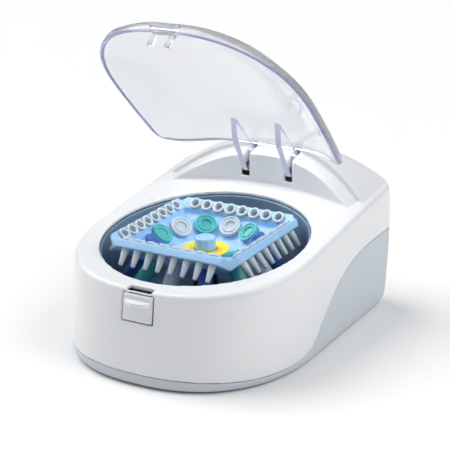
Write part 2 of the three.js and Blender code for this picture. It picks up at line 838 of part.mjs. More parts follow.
// A coil of round wire about the Y axis, with flat-cut ends.
function coil({ x, y0, y1, z, radius, wire, turns }) {
  const path = new THREE.CatmullRomCurve3(
    Array.from({ length: turns * 8 + 1 }, (_, i) => {
      const angle = (2 * Math.PI * i) / 8;
      const y = mix(y0 + wire, y1 - wire, i / (turns * 8));
      return new THREE.Vector3(x + radius * Math.cos(angle), y, z + radius * Math.sin(angle));
    }),
  );
  const section = outline(Array.from({ length: 5 }, (_, i) => {
    return [wire * Math.cos((Math.PI * i) / 2.5), wire * Math.sin((Math.PI * i) / 2.5)];
  }));
  return new THREE.ExtrudeGeometry(section, { steps: turns * 8, bevelEnabled: false, extrudePath: path });
}

// The cross-bar inside the front wall that the latch spring pulls from.
function latchAnchor() {
  return block(-9, 9, -73.4, -71.6, 42, 56);
}

// ---- small fittings ----------------------------------------------------------------------

function baseScrew(x, y) {
  return turned([
    [0, UNDERSIDE - 0.8],
    [SCREW_HEAD, UNDERSIDE - 0.8],
    [SCREW_HEAD, UNDERSIDE + 0.9],
    [SCREW_SHANK, UNDERSIDE + 0.9],
    [SCREW_SHANK, 18],
    [0, 19],
  ], 8).translate(x, y, 0);
}

function foot(x, y) {
  return turned([
    [0, 0],
    [FOOT_RADIUS - 0.8, 0],
    [FOOT_RADIUS, 0.8],
    [FOOT_RADIUS, UNDERSIDE + 1.2],
    [0, UNDERSIDE + 1.2],
  ], 14).translate(x, y, 0);
}

function powerInlet() {
  const body = toSolid(rodAlongY(INLET.x, 104, 118.6, INLET.z, INLET.radius - GAP, 20));
  const socket = toSolid(rodAlongY(INLET.x, 107, 120, INLET.z, 3.1, 16));
  const pin = toSolid(rodAlongY(INLET.x, 106, 117.5, INLET.z, 1, 8));
  return body.subtract(socket).add(pin);
}

function rockerBezel() {
  const { x, z, halfWidth, halfHeight } = ROCKER;
  const wide = halfWidth - GAP;
  const high = halfHeight - GAP;
  const body = toSolid(block(x - wide, x + wide, 103, 120, z - high, z + high));
  const hollow = toSolid(block(x - wide + 1.6, x + wide - 1.6, 106, 125, z - high + 1.6, z + high - 1.6));
  return body.subtract(hollow);
}

// A rocker key with a shallow V across its face, tipped about the X axis with its foot out.
function rockerKey() {
  const { x, z, pivotY, tilt } = ROCKER;
  const key = outline([[-4.5, -3], [2, -3.9], [4.4, -3.9], [3.4, 0], [4.4, 3.9], [2, 3.9], [-4.5, 3]]);
  return slab(key, -7.6, 7.6).rotateX(tilt).translate(x, pivotY, z);
}

function circuitBoard() {
  const board = toSolid(block(-32, 32, 80, 102, 8.3, 9.9));
  const parts = [
    block(-26, -12, 84, 94, 9.5, 13),
    block(-4, 6, 85, 95, 9.5, 12),
    block(12, 20, 83, 91, 9.5, 15),
    block(22, 30, 84, 96, 9.5, 18),
  ];
  return join([board, ...parts.map(toSolid), toSolid(post(-8, 98, 9.5, 20, 3.2, 12))]);
}

function lidSwitch() {
  const centre = -HINGE_X;
  const body = toSolid(block(centre - 3.2, centre + 3.2, 104.6, 114, 82, 94));
  return body.subtract(toSolid(rodAlongY(centre, 100, 110, 89, 1.3, 10)));
}

function switchPlunger() {
  return rodAlongY(-HINGE_X, 101.6, 107, 89, 0.95, 10);
}

// ---- assembly ----------------------------------------------------------------------------

const group = new THREE.Group();
group.name = 'centrifuge';

function addPiece(name, shape, look) {
  const geometry = shape.isBufferGeometry ? shape : toGeometry(shape);
  const mesh = new THREE.Mesh(geometry, new THREE.MeshStandardMaterial(LOOKS[look]));
  mesh.name = name;
  group.add(mesh);
  return mesh;
}

addPiece('upper_housing', upperHousing(), 'white');
addPiece('lower_base', lowerBase(), 'grey');
addPiece('rotor_chamber', rotorChamber(), 'bowl');

addPiece('motor', motorBody(), 'darkSteel');
addPiece('motor_plate', motorPlate(), 'steel');
isolatorPlaces().forEach(([x, y], i) => {
  addPiece(`isolator_${i + 1}`, isolator(), 'rubber').position.set(x, y, 0);
});
addPiece('drive_shaft', shaft(), 'steel');
addPiece('drive_hub', driveHub(), 'black');

addPiece('rotor', rotor(), 'rotor');
addPiece('rotor_label', rotorLabel(), 'yellow');
addPiece('rotor_knob', rotorKnob(), 'rotor');
for (const { name, turn } of SIDES) {
  addPiece(`tube_strip_${name}`, tubeStrip(turn), 'strip');
}
const TUBE_LOOKS = [
  'clearTube', 'blueTube', 'tealTube', 'clearTube', 'tealTube', 'clearTube',
  'tealTube', 'blueTube', 'tealTube', 'clearTube', 'blueTube', 'tealTube',
];
microtubeTurns().forEach((turn, i) => {
  const number = String(i + 1).padStart(2, '0');
  addPiece(`microtube_${number}`, leanOut(microtube(), CAP_RADIUS, CAP_HEIGHT, turn), TUBE_LOOKS[i]);
});

addPiece('lid', openLid(lid()), 'lid');
addPiece('lid_catch', openLid(lidCatch()), 'lid');
for (const [name, side] of [['left', -1], ['right', 1]]) {
  addPiece(`hinge_arm_${name}`, openLid(hingeArm(side)), 'lid');
  addPiece(`hinge_pin_${name}`, hingePin(side), 'steel');
}

addPiece('latch_panel', latchPanel(), 'white');
addPiece('latch_pin', latchPin(), 'steel');
addPiece('latch_anchor', latchAnchor(), 'grey');
addPiece('latch_spring', coil({
  x: 0, y0: -78.6, y1: -73.7, z: 49, radius: 2.6, wire: 0.35, turns: 3,
}), 'steel');

addPiece('lid_switch', lidSwitch(), 'black');
addPiece('switch_plunger', switchPlunger(), 'rubber');
addPiece('circuit_board', circuitBoard(), 'board');
addPiece('power_inlet', powerInlet(), 'black');
addPiece('rocker_bezel', rockerBezel(), 'black');
addPiece('rocker_key', rockerKey(), 'rubber');

for (const { name, x, y } of CORNERS) addPiece(`base_screw_${name}`, baseScrew(x, y), 'steel');
for (const { name, x, y } of FEET) addPiece(`foot_${name}`, foot(x, y), 'rubber');

for (const piece of group.children) piece.position.y -= FOOTPRINT_MIDDLE;

export default group;
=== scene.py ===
# Looks for a personal bench centrifuge with its lid raised and its rotor loaded.
# Shapes are written in millimetres from the rotor's axis at table level, +X right, -Y to the front,
# and mm() turns them into the row's frame in metres.

import json
import math

import bpy
import numpy as np
from mathutils import Matrix, Vector


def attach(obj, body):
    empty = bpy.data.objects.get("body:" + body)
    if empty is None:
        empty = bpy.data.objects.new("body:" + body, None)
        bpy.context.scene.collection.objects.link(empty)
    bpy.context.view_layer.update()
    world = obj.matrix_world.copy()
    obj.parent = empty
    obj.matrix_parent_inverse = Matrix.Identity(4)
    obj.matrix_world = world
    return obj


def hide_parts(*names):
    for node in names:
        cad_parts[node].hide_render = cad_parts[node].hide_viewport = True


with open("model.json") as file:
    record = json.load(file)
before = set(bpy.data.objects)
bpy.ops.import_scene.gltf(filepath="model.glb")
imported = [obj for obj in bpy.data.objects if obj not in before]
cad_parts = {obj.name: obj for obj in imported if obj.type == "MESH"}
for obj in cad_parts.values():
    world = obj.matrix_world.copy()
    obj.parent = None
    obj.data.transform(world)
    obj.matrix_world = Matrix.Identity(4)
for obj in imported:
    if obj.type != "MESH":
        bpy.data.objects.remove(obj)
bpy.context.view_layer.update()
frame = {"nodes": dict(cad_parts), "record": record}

# ---- driving dimensions in millimetres, the CAD's own where the CAD has them -------------------

FOOTPRINT_MIDDLE = 16.0
WALL = 2.6
GAP = 0.3
UNDERSIDE = 1.2
FOOT_HALF_WIDTH, DECK_HALF_WIDTH = 81.0, 80.0
FOOT_FRONT_REACH, DECK_FRONT_REACH = 89.5, 80.5
FRONT_POWER = 2.35
REAR_REACH, REAR_CORNER, REAR_TUCK = 121.5, 12.0, 9.5
DECK_HEIGHT, DECK_SLOPE, DECK_EDGE_RADIUS = 69.8, 0.12, 3.0
HUMP_HALF_WIDTH, HUMP_CROWN, HUMP_CROWN_Y, HUMP_CROWN_FALL = 75.0, 107.0, 100.0, 0.012
ARCH_POWER, ARCH_WALL_Y, ARCH_WALL_RADIUS = 2.4, 84.5, 149.0
HUMP_REAR_REACH, HUMP_FRONT, HUMP_ROOT = REAR_REACH - 1, 56.0, 14.0
LID_REBATE, REBATE_LENGTH = 3.5, 12.0
BOWL_RADIUS, BOWL_FLOOR, SHAFT_HOLE = 68.1, 26.0, 7.0
LID_HALF_WIDTH, LID_REAR_NARROWING, LID_FRONT_REACH = 72.0, 5.0, 77.5
LID_POWER, LID_ARCH_POWER, LID_SKIRT, LID_RISE, LID_PEAK_Y = 2.4, 3.2, 5.0, 25.8, 88.0
LID_WALL, LID_OVERLAP, LID_OPEN_ANGLE = 2.8, 4.0, math.radians(52.5)
SKIRT_LIFT = 0.5
HINGE_X, HINGE_Y, HINGE_Z, SLOT_WIDTH, SLOT_FLOOR = 16.7, 92.0, 100.0, 6.2, 84.0
TUBE_LEAN = math.radians(40)
STRIP_PITCH, STRIP_TUBES, STRIP_RADIUS, STRIP_HEIGHT, STRIP_SEAT = 9.0, 8, 40.4, 75.0, 2.0
MICROTUBES, CAP_RADIUS, CAP_HEIGHT, CAP_SEAT = 12, 31.5, 66.6, 3.4
PLATE_DEPTH, CORNER_REACH = 5.3, 60.5
LATCH_HALF_WIDTH, LATCH_BOTTOM, LATCH_TOP, LATCH_GAP = 11.2, 40.0, 58.2, 0.6
LATCH_PIVOT_Y, LATCH_PIVOT_Z = -79.6, 42.4
CORNERS = {
    "front_left": (-62, -49),
    "front_right": (62, -49),
    "rear_left": (-66, 94),
    "rear_right": (66, 94),
}
FEET = {
    "front_left": (-46, -62),
    "front_right": (46, -62),
    "rear_left": (-60, 78),
    "rear_right": (60, 78),
}
INLET_X, INLET_Z, INLET_RADIUS = 34.0, 20.0, 5.5
ROCKER_X, ROCKER_Z, ROCKER_HALF_WIDTH, ROCKER_HALF_HEIGHT = -32.0, 22.0, 10.0, 7.0
ROCKER_PIVOT_Y, ROCKER_TILT = 115.5, 0.105

# Only the visual lid has rounded rear corners, a skirt that fades there and a tinted rim.
LID_CORNER_Y, LID_CORNER_REACH, SKIRT_FADE = 66.0, 19.0, 14.0
RIM_STEPS, RIM_TINTED = 12, range(3, 10)

# ---- mesh helpers -------------------------------------------------------------------------------


def mm(points):
    """Millimetres from the rotor's axis to metres in the row's frame."""
    points = np.asarray(points, float).reshape(-1, 3)
    return (points - [0, FOOTPRINT_MIDDLE, 0]) * 0.001


def new_object(name, points, faces):
    """A smooth-shaded mesh object, from points in millimetres."""
    mesh = bpy.data.meshes.new(name)
    mesh.from_pydata(mm(points).tolist(), [], [list(map(int, face)) for face in faces])
    mesh.validate()
    mesh.update()
    mesh.shade_smooth()
    made = bpy.data.objects.new(name, mesh)
    bpy.context.scene.collection.objects.link(made)
    return made


def ring_faces(rows, columns):
    """Quads between consecutive closed rows of equal length."""
    faces = []
    for row in range(rows - 1):
        for column in range(columns):
            after = (column + 1) % columns
            base, above = row * columns, (row + 1) * columns
            faces.append((base + column, base + after, above + after, above + column))
    return faces


def loft(name, sections):
    """A closed solid through sections, each an n by 3 array, anticlockwise seen from the last one."""
    sections = [np.asarray(section, float) for section in sections]
    count = len(sections[0])
    faces = ring_faces(len(sections), count)
    faces.append(tuple(reversed(range(count))))
    faces.append(tuple(range((len(sections) - 1) * count, len(sections) * count)))
    return new_object(name, np.concatenate(sections), faces)


def lathe(name, profile, sides, place=None):
    """A profile of (radius, height) pairs turned about Z. A radius of 0 closes an end."""
    angles = np.linspace(0, 2 * math.pi, sides, endpoint=False)
    points, rows, faces = [], [], []
    for radius, height in profile:
        if radius < 1e-6:
            rows.append([len(points)])
            points.append((0, 0, height))
        else:
            rows.append(list(range(len(points), len(points) + sides)))
            points += [(radius * math.cos(a), radius * math.sin(a), height) for a in angles]
    for low, high in zip(rows, rows[1:]):
        for i in range(sides):
            j = (i + 1) % sides
            if len(low) == 1 and len(high) > 1:
                faces.append((low[0], high[j], high[i]))
            elif len(high) == 1 and len(low) > 1:
                faces.append((low[i], low[j], high[0]))
            elif len(low) > 1:
                faces.append((low[i], low[j], high[j], high[i]))
    points = np.array(points)
    if place is not None:
        points = place(points)
    return new_object(name, points, faces)


def rounded(profile, radius, steps):
    """The same profile with every corner but its two ends replaced by a short curve."""
    result = [profile[0]]
    for before, corner, after in zip(profile, profile[1:], profile[2:]):
        corner = np.array(corner, float)
        back, ahead = np.array(before) - corner, np.array(after) - corner
        reach_back, reach_ahead = np.linalg.norm(back), np.linalg.norm(ahead)
        reach = min(radius, 0.45 * reach_back, 0.45 * reach_ahead)
        start, end = corner + back / reach_back * reach, corner + ahead / reach_ahead * reach
        for i in range(steps + 1):
            share = i / steps
            bend = (1 - share) ** 2 * start + 2 * share * (1 - share) * corner + share**2 * end
            result.append((float(bend[0]), float(bend[1])))
    result.append(profile[-1])
    return result


def prism(name, outline, low, high, axis="z"):
    """An outline pulled from low to high along an axis. For x it is given in (y, z), for y in (x, z)."""
    outline = np.asarray(outline, float)
    area = np.sum(outline[:, 0] * np.roll(outline[:, 1], -1) - np.roll(outline[:, 0], -1) * outline[:, 1])
    if area < 0:
        outline = outline[::-1]
    ends = []
    for level in (low, high):
        level_column = np.full(len(outline), float(level))
        columns = {
            "z": (outline[:, 0], outline[:, 1], level_column),
            "x": (level_column, outline[:, 0], outline[:, 1]),
            "y": (outline[:, 0], level_column, outline[:, 1]),
        }[axis]
        ends.append(np.stack(columns, axis=1))
    if axis == "y":
        ends.reverse()
    return loft(name, ends)


def block(x0, x1, y0, y1, z0, z1, name="cutter"):
    return prism(name, [(x0, y0), (x1, y0), (x1, y1), (x0, y1)], z0, z1)


def post(x, y, z0, z1, radius, sides=48):
    """An upright rod, used to add a pillar or to cut a hole."""
    angles = np.linspace(0, 2 * math.pi, sides, endpoint=False)
    ring = [(x + radius * math.cos(a), y + radius * math.sin(a)) for a in angles]
    return prism("cutter", ring, z0, z1)


def rod(axis, low, high, u, v, radius):
    """A rod along x through (y, z) = (u, v), or along y through (x, z) = (u, v)."""
    angles = np.linspace(0, 2 * math.pi, 32, endpoint=False)
    ring = [(u + radius * math.cos(a), v + radius * math.sin(a)) for a in angles]
    return prism("cutter", ring, low, high, axis)


def settle(made):
    """Applies an object's modifiers to its mesh."""
    graph = bpy.context.evaluated_depsgraph_get()
    mesh = bpy.data.meshes.new_from_object(made.evaluated_get(graph))
    made.modifiers.clear()
    made.data = mesh
    mesh.name = made.name
    return made


def boolean(target, tools, operation):
    """Works the tools into the target one by one, then removes them."""
    for tool in tools:
        step = target.modifiers.new("cut", "BOOLEAN")
        step.operation = operation
        step.object = tool
        step.solver = "EXACT"
    settle(target)
    for tool in tools:
        bpy.data.objects.remove(tool)
    return target


def cut(target, *tools):
    return boolean(target, tools, "DIFFERENCE")


def join(target, *tools):
    return boolean(target, tools, "UNION")


def keep_inside(target, *tools):
    return boolean(target, tools, "INTERSECT")


def soften(made, voxel, passes):
    """Remeshes a solid evenly and rounds its edges, as a moulding's edges are."""
    step = made.modifiers.new("remesh", "REMESH")
    step.mode = "VOXEL"
    step.voxel_size = voxel * 0.001
    step.use_smooth_shade = True
    step = made.modifiers.new("smooth", "SMOOTH")
    step.factor = 0.5
    step.iterations = passes
    return settle(made)


def bevel(made, width, segments=3, angle=40):
    step = made.modifiers.new("bevel", "BEVEL")
    step.width = width * 0.001
    step.segments = segments
    step.limit_method = "ANGLE"
    step.angle_limit = math.radians(angle)
    step.harden_normals = True
    made.data.shade_smooth()
    return settle(made)


def merged(name, parts):
    """Several objects as one mesh, without boolean work."""
    points, faces, offset = [], [], 0
    for part in parts:
        points += [tuple(vertex.co) for vertex in part.data.vertices]
        faces += [[offset + i for i in face.vertices] for face in part.data.polygons]
        offset += len(part.data.vertices)
        bpy.data.objects.remove(part)
    mesh = bpy.data.meshes.new(name)
    mesh.from_pydata(points, [], faces)
    mesh.update()
    mesh.shade_smooth()
    made = bpy.data.objects.new(name, mesh)
    bpy.context.scene.collection.objects.link(made)
    return made


def mix(a, b, share):
    """The value a share of the way from a to b."""
    return a + (b - a) * share


# ---- materials ----------------------------------------------------------------------------------


class Looks:
    """Builds one node material, with its texture coordinates taken from the piece itself."""

    def __init__(self, name):
        self.material = bpy.data.materials.new(name)
        self.material.use_nodes = True
        self.tree = self.material.node_tree
        self.shader = self.tree.nodes["Principled BSDF"]
        self.coordinates = self.tree.nodes.new("ShaderNodeTexCoord")

    def node(self, kind, **values):
        made = self.tree.nodes.new(kind)
        for socket, value in values.items():
            made.inputs[socket].default_value = value
        return made

    def link(self, source, target):
        self.tree.links.new(source, target)

    def set(self, **values):
        for socket, value in values.items():
            self.shader.inputs[socket.replace("_", " ")].default_value = value

    def noise(self, size_mm, detail):
        """Noise whose blobs are about size_mm across."""
        made = self.node("ShaderNodeTexNoise", Scale=1000.0 / size_mm, Detail=detail)
        self.link(self.coordinates.outputs["Object"], made.inputs["Vector"])
        return made.outputs["Fac"]

    def tint(self, source, first, second):
        """Lets the colour drift between two shades."""
        made = self.tree.nodes.new("ShaderNodeValToRGB")
        low_end, high_end = made.color_ramp.elements
        low_end.position, high_end.position = 0.15, 0.85
        low_end.color, high_end.color = (*first, 1), (*second, 1)
        self.link(source, made.inputs["Fac"])
        self.link(made.outputs["Color"], self.shader.inputs["Base Color"])

    def bump(self, source, depth_mm, strength=1.0):
        made = self.tree.nodes.new("ShaderNodeBump")
        made.inputs["Distance"].default_value = depth_mm * 0.001
        made.inputs["Strength"].default_value = strength
        self.link(source, made.inputs["Height"])
        self.link(made.outputs["Normal"], self.shader.inputs["Normal"])

    def roughen(self, source, low, high):
        """Lets the roughness drift between two values."""
        made = self.tree.nodes.new("ShaderNodeMapRange")
        for socket, value in (("From Min", 0.1), ("From Max", 0.9), ("To Min", low), ("To Max", high)):
            made.inputs[socket].default_value = value
        self.link(source, made.inputs["Value"])
        self.link(made.outputs["Result"], self.shader.inputs["Roughness"])


def scaled(color, factor):
    return tuple(min(1.0, channel * factor) for channel in color)


def moulded(name, color, roughness, grain_mm=0.35, grain_depth=0.012, coat=0.0):
    """Moulded plastic: a fine spark-eroded grain, slow colour drift and uneven polish."""
    look = Looks(name)
    look.tint(look.noise(45, 2), scaled(color, 0.975), scaled(color, 1.015))
    look.roughen(look.noise(25, 2), roughness * 0.85, roughness * 1.2)
    look.bump(look.noise(grain_mm, 2), grain_depth)
    look.set(Coat_Weight=coat, Coat_Roughness=0.15, Specular_IOR_Level=0.45)
    return look.material


def clear(name, color, roughness, weight, ior=1.49, wave_mm=30.0, wave_depth=0.03):
    """Clear plastic with a faint flow ripple from moulding and a little haze."""
    look = Looks(name)
    look.tint(look.noise(60, 2), scaled(color, 0.99), color)
    look.roughen(look.noise(12, 3), roughness * 0.6, roughness * 1.5)
    look.bump(look.noise(wave_mm, 1), wave_depth, 0.5)
    look.set(Transmission_Weight=weight, IOR=ior)
    return look.material


def metal(name, color, roughness=0.3):
    """Plain steel with a fine mottle and uneven polish."""
    look = Looks(name)
    look.tint(look.noise(6, 4), scaled(color, 0.88), color)
    look.roughen(look.noise(3, 4), roughness * 0.8, roughness * 1.3)
    look.bump(look.noise(0.4, 2), 0.004)
    look.set(Metallic=1.0)
    return look.material


def rubber(name, color):
    """Dull rubber with a fine dusty grain."""
    roughness = 0.75
    look = Looks(name)
    look.tint(look.noise(5, 4), scaled(color, 0.8), scaled(color, 1.4))
    look.roughen(look.noise(2.5, 4), roughness * 0.85, roughness * 1.1)
    look.bump(look.noise(0.5, 3), 0.03)
    return look.material


def board_green(name):
    """Solder mask over copper: a fine mottle and a waxy sheen."""
    look = Looks(name)
    look.tint(look.noise(2.2, 4), (0.02, 0.13, 0.05), (0.04, 0.24, 0.1))
    look.roughen(look.noise(4, 3), 0.25, 0.5)
    look.bump(look.noise(0.8, 2), 0.02)
    return look.material


LOOK = {
    "housing_white": moulded("white_plastic", (0.79, 0.80, 0.81), 0.3, coat=0.15),
    "base_grey": moulded("grey_plastic", (0.55, 0.60, 0.64), 0.42),
    "bowl_grey": moulded("slate_plastic", (0.16, 0.25, 0.36), 0.3, 0.5, 0.01),
    "rotor_blue": moulded("blue_plastic", (0.36, 0.62, 0.92), 0.28, 0.6, 0.006, coat=0.3),
    "label_yellow": moulded("yellow_film", (0.90, 0.72, 0.03), 0.4, 0.8, 0.004),
    "strip_clear": clear("strip_plastic", (0.84, 0.93, 1.0), 0.04, 0.34, 1.4, wave_mm=3, wave_depth=0.02),
    "tube_clear": clear("clear_tube", (0.78, 0.88, 0.98), 0.12, 0.35, 1.35, wave_mm=4, wave_depth=0.02),
    "tube_teal": clear("teal_tube", (0.12, 0.66, 0.68), 0.14, 0.3, wave_mm=4, wave_depth=0.02),
    "tube_blue": clear("blue_tube", (0.10, 0.24, 0.74), 0.14, 0.4, wave_mm=4, wave_depth=0.02),
    "lid_clear": clear("lid_plastic", (0.875, 0.88, 0.895), 0.02, 0.88, 1.22),
    "arm_clear": clear("arm_plastic", (0.96, 0.96, 0.98), 0.02, 0.97, 1.2),
    # The arm's edge look is painted light: a lighter lavender colour standing in for the glow its thick
    # clear edges gather.
    "arm_lit_edge": clear("arm_lit_edge_plastic", (0.80, 0.80, 0.96), 0.15, 0.25, 1.3),
    "steel": metal("plain_steel", (0.62, 0.63, 0.65)),
    "motor_steel": metal("motor_steel", (0.20, 0.205, 0.215), 0.4),
    "black_plastic": moulded("black_plastic", (0.02, 0.02, 0.023), 0.4),
    "rubber": rubber("black_rubber", (0.022, 0.022, 0.024)),
    "board_green": board_green("board_mask"),
}
RIM_LOOK = clear("lid_rim", (0.44, 0.455, 0.84), 0.05, 0.65)


def dress(made, slot, body, *nodes, look=None):
    """Gives a piece the material for its slot and its body, and hides the CAD nodes it stands for."""
    made.data.materials.clear()
    made.data.materials.append(LOOK[look or slot])
    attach(made, body)
    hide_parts(*nodes)
    return made


# ---- housing ------------------------------------------------------------------------------------


def deck_z(y):
    """Height of the deck, which slopes up to the rear."""
    return DECK_HEIGHT + DECK_SLOPE * y


def plan_outline(half_width, front_reach, rear_reach, corner):
    """Plan of the body: a rounded front, straight flanks and two rounded rear corners."""
    front_steps, corner_steps = 110, 12
    points = []
    for i in range(front_steps + 1):
        angle = math.pi * (1 + i / front_steps)
        across = abs(math.cos(angle)) ** (2 / FRONT_POWER)
        ahead = abs(math.sin(angle)) ** (2 / FRONT_POWER)
        points.append((half_width * math.copysign(across, math.cos(angle)), -front_reach * ahead))
    for side in (1, -1):
        for i in range(corner_steps + 1):
            share = i / corner_steps if side > 0 else 1 - i / corner_steps
            angle = math.pi / 2 * share
            x = half_width - corner + corner * math.cos(angle)
            points.append((side * x, rear_reach - corner + corner * math.sin(angle)))
    return np.array(points)


def body_ring(share, tuck, drop, inset):
    """The body's outline at a share of the way from the table to the deck."""
    upright_share = 0.75
    lean = REAR_TUCK * (1 - share / upright_share) ** 2
    ring = plan_outline(
        mix(FOOT_HALF_WIDTH, DECK_HALF_WIDTH, share) - tuck - inset,
        mix(FOOT_FRONT_REACH, DECK_FRONT_REACH, share) - tuck - inset,
        REAR_REACH - lean - tuck - inset,
        REAR_CORNER - inset,
    )
    floor = UNDERSIDE + inset
    z = [mix(floor, deck_z(y) - inset, share) - drop for y in ring[:, 1]]
    return np.column_stack([ring, z])


def body_solid(inset, name="body"):
    """The body without its hump, shrunk by inset, with a rounded foot and deck edge."""
    levels = [(0, 3, 0), (0.012, 1.7, 0), (0.035, 0.8, 0), (0.06, 0.25, 0)]
    levels += [(share, 0, 0) for share in np.linspace(0.09, 0.94, 14)]
    edge_steps = 1 if inset > 0 else 8
    for i in range(edge_steps + 1):
        angle = math.pi / 2 * i / edge_steps
        tuck, drop = 1 - math.cos(angle), 1 - math.sin(angle)
        levels.append((1, DECK_EDGE_RADIUS * tuck, DECK_EDGE_RADIUS * drop))
    return loft(name, [body_ring(share, tuck, drop, inset) for share, tuck, drop in levels])


def hump_crown(y):
    return HUMP_CROWN - HUMP_CROWN_FALL * (y - HUMP_CROWN_Y) ** 2


def hump_loft(drop, rear_reach):
    """Arched sections from the bowl to the rear, whose last ones round over."""
    arch_steps, edge_steps, rear_edge = 72, 8, 4.0
    stations = [(y, 0.0) for y in np.linspace(HUMP_FRONT, rear_reach - rear_edge, 26)]
    for i in range(1, edge_steps + 1):
        angle = math.pi / 2 * i / edge_steps
        stations.append(
            (rear_reach - rear_edge * (1 - math.sin(angle)), rear_edge * (1 - math.cos(angle)))
        )
    sections = []
    for y, edge_drop in stations:
        bottom = deck_z(y) - HUMP_ROOT
        section = [(-HUMP_HALF_WIDTH, y, bottom)]
        for i in range(arch_steps + 1):
            across = math.sin(math.pi * (i / arch_steps - 0.5))
            height = (hump_crown(y) - deck_z(y)) * (1 - abs(across) ** ARCH_POWER)
            section.append((HUMP_HALF_WIDTH * across, y, deck_z(y) + height - drop - edge_drop))
        section.append((HUMP_HALF_WIDTH, y, bottom))
        sections.append(section)
    return loft("hump", sections)


def ahead_of_arch(radius):
    """A cutter for everything in front of the arch's curved wall."""
    steps, half_width, front, top = 64, 110, -130, 200
    centre_y = ARCH_WALL_Y - ARCH_WALL_RADIUS
    spread = math.asin(half_width / radius)
    points = []
    for i in range(steps + 1):
        angle = spread * (1 - 2 * i / steps)
        points.append((radius * math.sin(angle), centre_y + radius * math.cos(angle)))
    points += [(-half_width, front), (half_width, front)]
    return prism("ahead", points, 0, top)


def plan_prism(inset):
    """The deck's plan, shrunk by inset and pulled up past the hump's top."""
    outline = plan_outline(
        DECK_HALF_WIDTH - inset, DECK_FRONT_REACH - inset, HUMP_REAR_REACH - inset, REAR_CORNER - inset
    )
    return prism("plan", outline, 0, 200)


def hump_solid():
    """The hump, with its front strip lower so that the lid's edge can lie on it."""
    rebated = cut(hump_loft(LID_REBATE, HUMP_REAR_REACH), ahead_of_arch(ARCH_WALL_RADIUS))
    full = cut(hump_loft(0, HUMP_REAR_REACH), ahead_of_arch(ARCH_WALL_RADIUS + REBATE_LENGTH))
    return keep_inside(join(rebated, full), plan_prism(0.2))


def hump_space():
    """The hollow inside the hump."""
    space = hump_loft(LID_REBATE + WALL, HUMP_REAR_REACH - WALL)
    return keep_inside(cut(space, ahead_of_arch(ARCH_WALL_RADIUS + WALL)), plan_prism(WALL + 2))


def catmull_rom(knots, steps):
    """Points along a uniform Catmull-Rom spline through 2-D knots."""
    knots = np.asarray(knots, float)
    last = len(knots) - 1
    points = []
    for i in range(steps + 1):
        at = last * i / steps
        k = min(int(at), last - 1)
        t = at - k
        p0, p1, p2, p3 = knots[max(k - 1, 0)], knots[k], knots[k + 1], knots[min(k + 2, last)]
        v0, v1 = (p2 - p0) / 2, (p3 - p1) / 2
        cubic = 2 * p1 - 2 * p2 + v0 + v1
        square = 3 * p2 - 3 * p1 - 2 * v0 - v1
        points.append(cubic * t**3 + square * t**2 + v0 * t + p1)
    return points


def below_seam(lift):
    """A block of all that lies below the curved seam between base and housing."""
    front, rear, bottom, half_width = -100, 130, -20, 100
    knots = [(front, 9.5), (-50, 6.2), (-10, 9.5), (13, 27), (38, 43), (70, 51.5), (rear, 53)]
    top = [(y, z + lift) for y, z in catmull_rom(knots, 120)]
    return prism("seam", [(front, bottom), *top, (rear, bottom)], -half_width, half_width, "x")


def hook_slot():
    """The slot in the deck that the lid's hooks drop through."""
    return block(-9, 9, -79.2, -74.8, 50, 75)


def upper_housing():
    """The white shell: body and hump, hollow, above the seam, with its openings cut."""
    shell = join(body_solid(0, "upper_housing_shell"), hump_solid())
    shell = cut(shell, join(body_solid(WALL), hump_space()))
    cheeks = []
    for side in (-1, 1):
        centre, reach = side * HINGE_X, SLOT_WIDTH / 2 + 5
        cheeks.append(block(centre - reach, centre + reach, HINGE_Y - 5, HINGE_Y + 5, 92, 101.5))
    posts = [post(x, y, UNDERSIDE + WALL + GAP, deck_z(y) - 1, 4.5) for x, y in CORNERS.values()]
    shell = join(shell, *cheeks, *posts)
    half = SLOT_WIDTH / 2
    slots = [
        block(side * HINGE_X - half, side * HINGE_X + half, 74, 102, SLOT_FLOOR, 125)
        for side in (-1, 1)
    ]
    bores = [post(x, y, 0, 22, 1.9, 24) for x, y in CORNERS.values()]
    shell = cut(
        shell,
        below_seam(GAP / 2),
        post(0, 0, 0, 120, BOWL_RADIUS, 160),
        block(-LATCH_HALF_WIDTH, LATCH_HALF_WIDTH, -100, -72, LATCH_BOTTOM, LATCH_TOP),
        hook_slot(),
        *slots,
        *bores,
    )
    shell = soften(shell, voxel=0.62, passes=3)
    return dress(shell, "housing_white", "base", "upper_housing")


def lower_base():
    """The grey shell below the seam, with its feet, screws, vents, inlet and switch let in."""
    shell = keep_inside(body_solid(0, "lower_base_shell"), below_seam(-GAP / 2))
    shell = cut(shell, body_solid(WALL))
    shell = join(shell, *[block(x - 2, x + 2, 82, 100, UNDERSIDE + 1, 8) for x in (-24, 24)])
    pockets = [post(x, y, -5, UNDERSIDE + 1.5, 7.0) for x, y in FEET.values()]
    screw_holes = [post(x, y, -5, 10, 1.9, 24) for x, y in CORNERS.values()]
    screw_sinks = [post(x, y, -5, UNDERSIDE + 1.2, 3.8) for x, y in CORNERS.values()]
    vents = [block(i * 5 - 1.2, i * 5 + 1.2, 105, 130, 30, 44) for i in range(-3, 4)]
    rocker = block(
        ROCKER_X - ROCKER_HALF_WIDTH,
        ROCKER_X + ROCKER_HALF_WIDTH,
        100,
        130,
        ROCKER_Z - ROCKER_HALF_HEIGHT,
        ROCKER_Z + ROCKER_HALF_HEIGHT,
    )
    inlet = rod("y", 100, 130, INLET_X, INLET_Z, INLET_RADIUS)
    shell = cut(shell, *pockets, *screw_holes, *screw_sinks, *vents, rocker, inlet)
    shell = soften(shell, voxel=0.62, passes=3)
    return dress(shell, "base_grey", "base", "lower_base")


